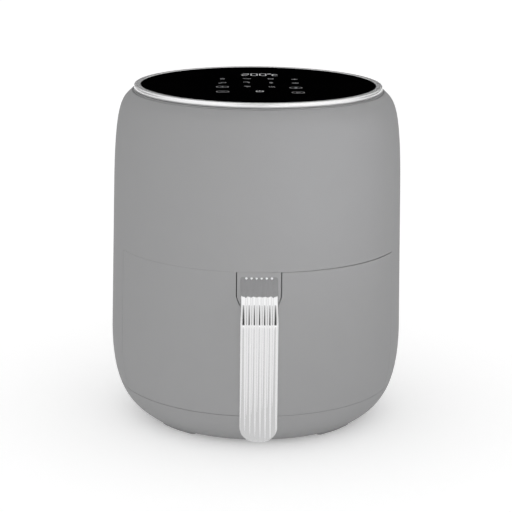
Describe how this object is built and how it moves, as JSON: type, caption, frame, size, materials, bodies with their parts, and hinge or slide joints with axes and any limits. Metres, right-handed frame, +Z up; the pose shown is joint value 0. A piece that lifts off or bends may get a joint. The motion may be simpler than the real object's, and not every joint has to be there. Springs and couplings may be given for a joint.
{
  "type": "air fryer",
  "caption": "Drum-shaped countertop air fryer with a glass touch panel on top and a pull-out drawer with a fluted chrome handle.",
  "frame": {"origin": "on the counter, under the middle of the whole appliance's outline; the drum's axis is 15.8 mm behind it", "axes": "+Z up, -Y towards the front and the handle, +X to the right seen from the front"},
  "size_m": [0.274, 0.311, 0.3135],
  "materials": {
    "body_grey": "satin moulded, fine spark texture",
    "dark_plastic": "satin moulded",
    "chrome_trim": "bright plated",
    "black_glass": "back-printed black, polished",
    "foot_rubber": "matt, in the body's grey",
    "silicone": "matt silicone",
    "screw_steel": "zinc plated",
    "circuit_board": "green lacquer",
    "component_black": "moulded",
    "chamber_steel": "aluminised sheet",
    "element_steel": "heat darkened",
    "insulator_ceramic": "bisque",
    "copper_winding": "enamelled copper",
    "bush_bronze": "sintered bronze",
    "fan_aluminium": "pressed sheet",
    "fan_plastic": "moulded",
    "nonstick": "non-stick coating with a fine fleck"
  },
  "bodies": {
    "casing": {"outer_housing": "body_grey", "base_moulding": "body_grey", "rubber_feet": "foot_rubber", "base_screws": "screw_steel", "rear_grille": "dark_plastic", "cord_gland": "dark_plastic", "panel_carrier": "body_grey", "carrier_screws": "screw_steel", "control_board": "circuit_board", "display_module": "dark_plastic", "touch_pads": "component_black", "control_glass": "black_glass", "trim_ring": "chrome_trim", "bay_floor": "chamber_steel", "drawer_runners": "dark_plastic", "cavity_liner": "chamber_steel", "bay_posts": "dark_plastic", "chamber_deck": "dark_plastic", "deck_screws": "screw_steel", "chamber_dome": "chamber_steel", "exhaust_duct": "chamber_steel", "element_guard": "chamber_steel", "heating_element": "element_steel", "element_clips": "chamber_steel", "element_insulators": "insulator_ceramic", "temperature_sensor": "chamber_steel", "thermal_cutout": "component_black", "motor_bracket": "chamber_steel", "motor_can": "chamber_steel", "motor_stator": "chamber_steel", "motor_windings": "copper_winding", "motor_bushes": "bush_bronze", "motor_screws": "screw_steel", "board_standoffs": "component_black", "power_board": "circuit_board", "power_components": "component_black", "drawer_switch": "dark_plastic"},
    "drawer": {"drawer_front": "body_grey", "drawer_back_shell": "dark_plastic", "pan": "nonstick", "pan_bracket": "chamber_steel", "handle_screws": "screw_steel", "handle_root": "body_grey", "handle_core": "body_grey", "handle_cover": "chrome_trim"},
    "crisper": {"crisper_plate": "nonstick", "plate_bumpers": "silicone"},
    "fan_rotor": {"motor_rotor": "chamber_steel", "motor_shaft": "screw_steel", "convection_fan": "fan_aluminium", "fan_nut": "screw_steel", "cooling_fan": "fan_plastic"},
    "switch_pin": {"switch_plunger": "dark_plastic"}
  },
  "joints": [
    {"name": "drawer_slide", "type": "slide", "parent": "casing", "child": "drawer", "axis": [0, -1, 0], "range_m": [0, 0.25]},
    {"name": "crisper_lift", "type": "slide", "parent": "drawer", "child": "crisper", "axis": [0, 0, 1], "range_m": [0, 0.112]},
    {"name": "fan_spin", "type": "hinge", "parent": "casing", "child": "fan_rotor", "pos_m": [0, 0.01581, 0.24], "axis": [0, 0, 1], "continuous": true},
    {"name": "switch_press", "type": "slide", "parent": "casing", "child": "switch_pin", "axis": [0, 0, -1], "range_m": [0, 0.0025]}
  ],
  "couplings": [
    {"joint": "switch_press", "follows": "drawer_slide", "ratio": 0.0096}
  ]
}
